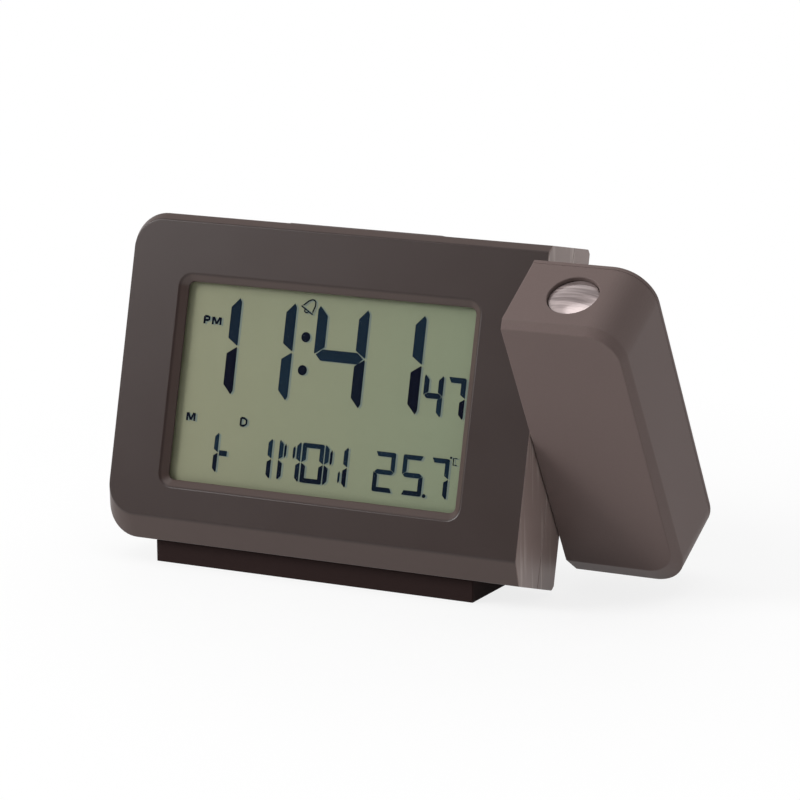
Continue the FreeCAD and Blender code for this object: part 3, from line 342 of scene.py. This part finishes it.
# Base colour with the painted highlight on the bevels and the painted sheen on the end face.
case_plastic.set(Base_Color=case_plastic.blend(
    end_sheen_mask, case_plastic.blend(bevel_highlight_mask, case_plastic.body, PAINTED_BEVEL_HIGHLIGHT),
    case_plastic.blend(sheen_streak_mask, END_SHEEN_DULL, END_SHEEN_BRIGHT)))
softened("front_case", case_plastic, "case", radius=0.18 * MM)
softened("rear_case", case_plastic, "case", radius=0.2 * MM)
softened("battery_door", case_plastic, "battery_door", radius=0.15 * MM)

# Projector arm shells: the same moulding in a slightly lighter plastic, a deep body and a thin
# lid at its back, held by three screws. The arm turns on the shaft at the case's end.
arm_plastic = moulded("arm_plastic", seen(105, 91, 88), roughness=0.48, gloss=0.1)
softened("arm_front_shell", arm_plastic, "projector_arm", radius=0.22 * MM)
softened("arm_rear_shell", arm_plastic, "projector_arm", radius=0.1 * MM)

# Foot: one block of darker, duller plastic, narrower than the case. The case sits in its cradle
# and is screwed to it from below.
foot_plastic = moulded("foot_plastic", seen(47, 36, 35), roughness=0.6, gloss=0.02)
softened("base_foot", foot_plastic, "case", radius=0.2 * MM)

# Keys, snooze bar and slide knob: small satin caps in openings of the case, the keys and the bar
# over the switches that they press, the knob on the slide switch's lever.
key_plastic = moulded("key_plastic", seen(72, 60, 58), roughness=0.36, gloss=0.3)
for cap in ("mode_key", "up_key", "down_key", "alarm_key", "light_key", "snooze_bar",
            "projector_switch"):
    softened(cap, key_plastic, cap, radius=0.2 * MM)


# Display ground: the liquid crystal cell with its reflector, clamped in the display's frame. Its
# film is grey green, and a little greener to the right.
def coat(node, finish):
    """Gives a construction solid that keeps its own shape the finish of what it is made of."""
    frame["nodes"][node].data.materials.clear()
    frame["nodes"][node].data.materials.append(finish.material)


GREENER_PER_METRE, GREENER_MIDDLE = 11.0, 0.5
FILM_CLOUDS, FILM_CLOUDINESS = 24.0, 0.2
FILM_ROUGHNESS, FILM_GRAIN, FILM_UNEVEN = 0.5, 200.0, 0.06
film = Finish("display_film", seen(137, 139, 114), FILM_ROUGHNESS, Specular_IOR_Level=0.12)
to_right = (film.node("SeparateXYZ", Vector=film.place) * GREENER_PER_METRE
            + GREENER_MIDDLE).held()
film.set(Base_Color=film.blend(to_right + film.noise(FILM_CLOUDS) * FILM_CLOUDINESS,
                               seen(138, 138, 113), seen(130, 139, 114)),
         Roughness=film.noise(FILM_GRAIN) * FILM_UNEVEN + FILM_ROUGHNESS)
coat("lcd_panel", film)

# Lit segments: the dark blue figures of a reflective liquid crystal display. They are thin foils
# on the front of the glass, and the colour of each runs from clear blue to blue black.
GLASS_X = extent("lcd_panel", ALONG)[0]
GLASS_UP = extent("lcd_panel", UP_FACE)[0]
GLASS_FRONT = extent("lcd_panel", INTO)[0]
INK_LIFT, INK_THICK = 0.06 * MM, 0.04 * MM

foils = []


def ink(outline, tone):
    """One foil: a flat outline in millimetres across and up from the glass's lower left corner,
    turned about if its enclosed area comes out negative, so that it runs anticlockwise."""
    ring = np.array(outline, float)
    after = np.roll(ring, -1, axis=0)
    area = (ring[:, 0] * after[:, 1] - after[:, 0] * ring[:, 1]).sum()
    foils.append((ring if area > 0 else ring[::-1], tone))


# Corners of an upright segment: the share of its width in from its outer edge, whether it is
# counted from the joint (0) or from the tip (1), and the share of its width back from there.
UPRIGHT_CORNERS = np.array([(1, 0, 0.62), (0.06, 0, 0), (0, 0, 0.12), (0, 1, 0.34), (0.2, 1, 0),
                            (1, 1, 0.84)])
JOINT_GAP = 0.06
POINT_EXTRA = 0.12


def upright(x_out, x_in, z_tip, z_joint, tone):
    """A vertical segment between a digit's top or bottom and its middle. Its corners are
    UPRIGHT_CORNERS, scaled by the width, which is the way from outer to inner edge."""
    inward, at_tip, back = UPRIGHT_CORNERS.T
    back = back * abs(x_in - x_out) * math.copysign(1, z_tip - z_joint)
    ink(np.stack([x_out + (x_in - x_out) * inward,
                  np.where(at_tip, z_tip - back, z_joint + back)], 1), tone)


def level(x_low, x_high, z_mid, width, tone, lean):
    """A horizontal segment, pointed at both ends. Its corners lie half its width below and above
    its middle line and are cut back from the ends, by half the width on one side and by the
    tip's length on the other. That length shrinks as the lean moves both points towards that
    side, so that a top or bottom bar has its longer side outside."""
    half = width / 2
    tip = half * (1 - abs(lean)) + width * POINT_EXTRA
    below, over = (half, tip) if lean >= 0 else (tip, half)
    z_tip = z_mid + lean * half
    ink([(x_low, z_tip), (x_low + below, z_mid - half), (x_high - below, z_mid - half),
         (x_high, z_tip), (x_high - over, z_mid + half), (x_low + over, z_mid + half)], tone)


BARS = {"0": "abcdef", "1": "bc", "2": "abged", "4": "fgbc", "5": "afgcd", "7": "abc"}
OUTER_INSET, MIDDLE_INSET, OUTER_LEAN = 0.3, 0.2, 0.9


def digit(shape, x, z, wide, tall, width, tones):
    """A seven-segment figure in the box at x, z. Its bars are lettered from the top clockwise,
    with g across the middle, and its upper and lower half have a tone each."""
    gap, middle = width * JOINT_GAP, z + tall / 2
    upper, lower = tones
    right, top = x + wide, z + tall
    uprights = {"b": (right, right - width, top, middle + gap, upper),
                "c": (right, right - width, z, middle - gap, lower),
                "e": (x, x + width, z, middle - gap, lower),
                "f": (x, x + width, top, middle + gap, upper)}
    levels = {"a": (OUTER_INSET, top - width / 2, upper, OUTER_LEAN),
              "d": (OUTER_INSET, z + width / 2, lower, -OUTER_LEAN),
              "g": (MIDDLE_INSET, middle, upper, 0.0)}
    for bar in BARS[shape]:
        if bar in uprights:
            upright(*uprights[bar])
        else:
            inset, z_mid, tone, lean = levels[bar]
            level(x + width * inset, right - width * inset, z_mid, width, tone, lean)


DOT_CORNERS = 24


def dot(x, z, radius, tone):
    """A round dot: points at even angles, a radius from its middle."""
    turn = np.linspace(0, 2 * math.pi, DOT_CORNERS + 1)[:-1]
    ink(np.stack([x + radius * np.cos(turn), z + radius * np.sin(turn)], 1), tone)


SLANT, WAIST = 0.2, 0.2


def slip(x_low, x_high, z_low, z_high, tone):
    """A short slanted stroke. Its sides are cut back by a fifth of its height, and its points lie
    off the middle, the lower one near the left side and the upper one near the right."""
    waist = (z_high - z_low) * WAIST
    ink([(x_low, z_low + waist), (x_low + SLANT, z_low), (x_high, z_low + waist),
         (x_high, z_high - waist), (x_high - SLANT, z_high), (x_low, z_high - waist)], tone)


def stroke(path, width, tone):
    """A line of even width along a path: its two edges lie half the width to either side, square
    to the run through the neighbouring points."""
    at = np.array(path, float)
    run = np.gradient(at, axis=0)
    run /= np.linalg.norm(run, axis=1, keepdims=True)
    off = np.stack([-run[:, 1], run[:, 0]], 1) * width / 2
    ink(np.vstack([at + off, (at - off)[::-1]]), tone)


# The letters are a few broad strokes each, in a box that is one wide and one tall.
LETTERS = {
    "P": [[(0, 0), (0, 1)], [(0, 1), (0.62, 1), (0.9, 0.9), (0.9, 0.6), (0.62, 0.5), (0, 0.5)]],
    "M": [[(0, 0), (0, 1)], [(0.1, 1), (0.5, 0.1)], [(0.5, 0.1), (0.9, 1)], [(1, 1), (1, 0)]],
    "D": [[(0, 0), (0, 1)], [(0, 1), (0.55, 1), (1, 0.75), (1, 0.25), (0.55, 0), (0, 0)]],
    "C": [[(1, 1), (0, 1), (0, 0), (1, 0)]],
}


def letter(shape, x, z, wide, tall, weight, tone):
    """A printed letter: its strokes are stretched to the box less the line's weight, and moved in
    by half of that weight."""
    for line in LETTERS[shape]:
        stroke(np.array(line) * (wide - weight, tall - weight) + (x + weight / 2, z + weight / 2),
               weight, tone)


# The time with its colon, and the seconds.
TIME_BOX = (25.75, 14.7, 24.7, 2.9)
for shape, x, tones in (("1", 3.0, (0.35, 1.0)), ("1", 19.0, (0.35, 0.1)),
                        ("4", 39.9, (0.2, 0.8)), ("1", 55.9, (0.2, 1.0))):
    digit(shape, x, *TIME_BOX, tones)
for z in (33.8, 42.2):
    dot(37.15, z, 1.3, 0.9)
digit("4", 71.8, 25.7, 5.4, 10.3, 1.4, (0.5, 0.1))
digit("7", 78.1, 25.7, 5.3, 10.3, 1.4, (0.2, 1.0))

# The lower row: month, dash, day, the strokes of the day's name, and the temperature.
ROW_Z, ROW_WIDE, ROW_TALL, ROW_BAR = 5.6, 5.9, 10.1, 1.2
ROW_TOP, ROW_MIDDLE, ROW_GAP = ROW_Z + ROW_TALL, ROW_Z + ROW_TALL / 2, 0.08
ROW_BOX = (ROW_Z, ROW_WIDE, ROW_TALL, ROW_BAR)
DASH_LOW, DASH_TOP = ROW_Z + 4.3, ROW_Z + 5.7
digit("1", 9.4, *ROW_BOX, (0.1, 0.8))
ink([(15.7, DASH_LOW), (18.0, DASH_LOW), (18.0, DASH_TOP), (15.7, DASH_TOP)], 0.4)
digit("1", 25.1, *ROW_BOX, (0.1, 0.8))
for x_out, x_in, (upper, lower) in ((33.0, 34.2, (0.1, 0.8)), (39.3, 38.1, (0.1, 0.6)),
                                    (46.2, 47.4, (0.1, 0.8)), (52.8, 51.6, (0.3, 0.9))):
    upright(x_out, x_in, ROW_TOP, ROW_MIDDLE + ROW_GAP, upper)
    upright(x_out, x_in, ROW_Z, ROW_MIDDLE - ROW_GAP, lower)
slip(34.5, 35.1, ROW_Z + 5.6, ROW_Z + 9.3, 0.8)
slip(37.0, 37.7, ROW_Z + 5.6, ROW_Z + 9.0, 0.6)
digit("0", 39.7, ROW_Z, 6.2, ROW_TALL, ROW_BAR, (0.2, 0.8))
slip(47.7, 48.4, ROW_Z + 5.0, ROW_Z + 9.0, 0.9)
slip(50.4, 51.0, ROW_Z + 0.9, ROW_Z + 4.0, 0.5)
for shape, x, wide in (("2", 60.3, ROW_WIDE), ("5", 68.3, ROW_WIDE), ("7", 76.0, 5.2)):
    digit(shape, x, ROW_Z, wide, ROW_TALL, ROW_BAR, (0.2, 0.6))
dot(75.0, ROW_Z + 0.3, 0.5, 0.7)

# The small marks: PM, the M and D over month and day, and the degree sign with its C.
letter("P", 7.0, 42.8, 2.1, 2.5, 0.6, 0.95)
letter("M", 9.5, 42.8, 2.8, 2.5, 0.55, 0.95)
letter("M", 5.0, 17.7, 2.7, 2.6, 0.55, 0.95)
letter("D", 20.8, 17.9, 2.2, 2.5, 0.55, 0.95)
letter("C", 82.0, 14.2, 1.3, 2.0, 0.3, 0.7)
dot(81.4, 16.1, 0.3, 0.8)

# The alarm's bell in outline, tilted to the right, with its clapper.
BELL = ([(0, -1.5), (-1.95, -1.5), (-1.5, -0.8), (-1.15, 0.7), (-0.6, 1.6), (0, 1.85), (0.6, 1.6),
         (1.15, 0.7), (1.5, -0.8), (1.95, -1.5), (0.1, -1.5)],
        [(-0.6, -1.75), (-0.3, -2.15), (0.3, -2.15), (0.6, -1.75)])
BELL_TILT = math.radians(-33)
BELL_PLACE, BELL_STRETCH, BELL_LINE = (37.5, 50.2), (1.05, 0.95), 0.38
tilt = np.array([[math.cos(BELL_TILT), math.sin(BELL_TILT)],
                 [-math.sin(BELL_TILT), math.cos(BELL_TILT)]])
for line in BELL:
    stroke(np.array(line) @ tilt * BELL_STRETCH + BELL_PLACE, BELL_LINE, 0.8)


def add_piece(name, points, faces, finish, body, replaces=()):
    """A new flat-sided piece from an array of points and lists of faces."""
    mesh = bpy.data.meshes.new(name)
    mesh.from_pydata(points.tolist(), [], faces)
    return dress(put_in_scene(name, mesh), finish, body, replaces)


def prisms(outlines):
    """The points and faces of all foils. A point lies across and up the glass as its outline
    says, once at the foil's front and once at its back. Each foil has a front face, a back face
    that runs the other way round, and a wall between each pair of neighbouring points."""
    points, faces, start = [], [], 0
    for ring in outlines:
        front = np.arange(len(ring)) + start
        back = front + len(ring)
        walls = np.stack([front, back, np.roll(back, -1), np.roll(front, -1)], 1)
        faces += [front.tolist(), back[::-1].tolist(), *walls.tolist()]
        flat = (np.outer(GLASS_X + ring[:, 0] * MM, ALONG)
                + np.outer(GLASS_UP + ring[:, 1] * MM, UP_FACE))
        points += [flat + INTO * (GLASS_FRONT - lift) for lift in (INK_LIFT, INK_LIFT - INK_THICK)]
        start += 2 * len(ring)
    return np.vstack(points), faces


CLEAR_BLUE, BLUE_BLACK = seen(20, 38, 52), seen(5, 9, 26)
INK_GRAIN, INK_UNEVEN, INK_ROUGHNESS = 300.0, 0.1, 0.4
ink_points, ink_faces = prisms([ring for ring, tone in foils])
ink_blue = Finish("segment_ink", CLEAR_BLUE, INK_ROUGHNESS, Specular_IOR_Level=0.02)
ink_blue.set(Base_Color=ink_blue.blend(
    ink_blue.node("Attribute", {"attribute_name": "tone"}, "Fac"), CLEAR_BLUE, BLUE_BLACK),
    Roughness=ink_blue.noise(INK_GRAIN) * INK_UNEVEN + INK_ROUGHNESS)
segments = add_piece("display_segments", ink_points, ink_faces, ink_blue, "case")
segments.data.attributes.new("tone", "FLOAT", "POINT").data.foreach_set("value", np.repeat(
    [tone for ring, tone in foils], [2 * len(ring) for ring, tone in foils]).astype(np.float32))

# Shadows of the segments on the reflector behind the glass: the same foils again, a touch to the
# right, lower and further in, in a grey green that is a little darker than the ground.
SHADOW_RIGHT, SHADOW_DOWN, SHADOW_IN = 0.55 * MM, 0.15 * MM, 0.03 * MM
SHADOW_CLOUDS = 200.0
shade_shift = ALONG * SHADOW_RIGHT - UP_FACE * SHADOW_DOWN + INTO * SHADOW_IN
shade_ink = Finish("segment_shadow", seen(104, 118, 108), 0.6)
shade_ink.set(Base_Color=shade_ink.blend(shade_ink.noise(SHADOW_CLOUDS), seen(96, 111, 104),
                                         seen(108, 121, 110)))
add_piece("display_segment_shadows", ink_points + shade_shift, ink_faces, shade_ink, "case")

# Clear pane in the window: thin hard-coated plastic, glued behind the opening. It is see-through,
# with a faint gloss.
PANE_THICK = 0.7 * MM
PANE_COLOUR, PANE_ALPHA = (0.03, 0.03, 0.03), 0.04
PANE_CLOUDS, PANE_UNEVEN, PANE_ROUGHNESS = 50.0, 0.04, 0.04
pane = Finish("clear_pane", PANE_COLOUR, PANE_ROUGHNESS, Alpha=PANE_ALPHA)
pane.set(Roughness=pane.noise(PANE_CLOUDS) * PANE_UNEVEN + PANE_ROUGHNESS)
pane_front = extent("display_window", INTO)[0]
depths, heights, widths = np.meshgrid(
    (pane_front, pane_front + PANE_THICK), extent("display_window", UP_FACE),
    extent("display_window", ALONG), indexing="ij")
corners = np.outer(widths, ALONG) + np.outer(heights, UP_FACE) + np.outer(depths, INTO)
add_piece("window_pane", corners, [(0, 1, 3, 2), (4, 6, 7, 5), (0, 4, 5, 1), (2, 3, 7, 6),
                                   (0, 2, 6, 4), (1, 5, 7, 3)],
          pane, "case", ("display_window",))

# Projection lens: a moulded acrylic dome in the arm's top end, pressed into its seat. Its colour
# carries a painted reflection, dark and light in fine slanting streaks and a few broad bands; the
# fine streaks also vary its gloss and bump it.
STREAK_TURN = math.radians(28)
FINE_STREAKS, BROAD_REFLECTION_BANDS = (70.0, 1300.0, 700.0), (40.0, 260.0, 150.0)
STREAK_SHARE, REFLECTION_BAND_SHARE, REFLECTION_CONTRAST = 0.9, 1.1, 2.6
LENS_ROUGHNESS, LENS_UNEVEN = 0.08, 0.25
STREAK_STRENGTH, STREAK_DEEP = 0.15, 0.08 * MM
lens = Finish("lens_dome", seen(190, 182, 182), LENS_ROUGHNESS, Metallic=0.45, Coat_Weight=0.6)
streaks = lens.streaks(FINE_STREAKS, 3.0, STREAK_TURN)
reflection_bands = lens.streaks(BROAD_REFLECTION_BANDS, 1.0, STREAK_TURN)
# Painted reflection: the streaks and bands turn the lens colour from dark to light.
painted_reflection = ((streaks * STREAK_SHARE + reflection_bands * REFLECTION_BAND_SHARE - 1.0) * REFLECTION_CONTRAST + 0.5).held()
lens.set(Roughness=streaks * LENS_UNEVEN + LENS_ROUGHNESS,
         Base_Color=lens.blend(painted_reflection, seen(134, 120, 119), seen(198, 182, 180)))
lens.bump(streaks, STREAK_STRENGTH, STREAK_DEEP)
coat("projection_lens", lens)

# Inside of the clock: boards, screws, springs, cells and optics. Each keeps its own solid and gets
# the finish of what it is made of: a colour, a roughness, whether it is metal, and its nodes.
INNER = {
    "black_plastic": (seen(22, 22, 23), 0.5, 0.0, (
        "lcd_frame", "clock_chip", "buzzer", "slide_switch_body", "lens_barrel", "pivot_bush",
        "temperature_sensor")),
    "board_lacquer": (seen(24, 84, 44), 0.35, 0.0, ("main_board", "key_board", "arm_board")),
    "plated_steel": (seen(128, 125, 121), 0.4, 1.0, (
        "board_screws", "case_screws", "foot_screws", "key_board_screws", "arm_screws",
        "battery_springs", "battery_contacts", "friction_washer", "retaining_clip",
        "tact_switches", "snooze_switch", "pivot_shaft")),
    "milky_plastic": (seen(225, 227, 218), 0.3, 0.0, (
        "backlight_guide", "backlight_led", "projector_led")),
    "silicone": (seen(150, 150, 150), 0.6, 0.0, ("connector_strip", "pivot_wires")),
    "cell_sleeve": (seen(52, 54, 60), 0.3, 0.3, ("battery_cells",)),
    "optical_acrylic": (seen(215, 220, 222), 0.08, 0.0, ("condenser_lens", "projector_slide")),
}
INNER_GRAIN, INNER_UNEVEN, INNER_LESS = 400.0, 0.12, 0.05
INNER_CLOUDS, INNER_DARKER, INNER_LIGHTER = 150.0, 0.9, 1.08
for name, (colour, roughness, metallic, nodes) in INNER.items():
    made = Finish(name, colour, roughness, Metallic=metallic)
    made.set(Roughness=made.noise(INNER_GRAIN) * INNER_UNEVEN + (roughness - INNER_LESS),
             Base_Color=made.blend(made.noise(INNER_CLOUDS),
                                   tuple(c * INNER_DARKER for c in colour),
                                   tuple(min(1.0, c * INNER_LIGHTER) for c in colour)))
    for node in nodes:
        coat(node, made)
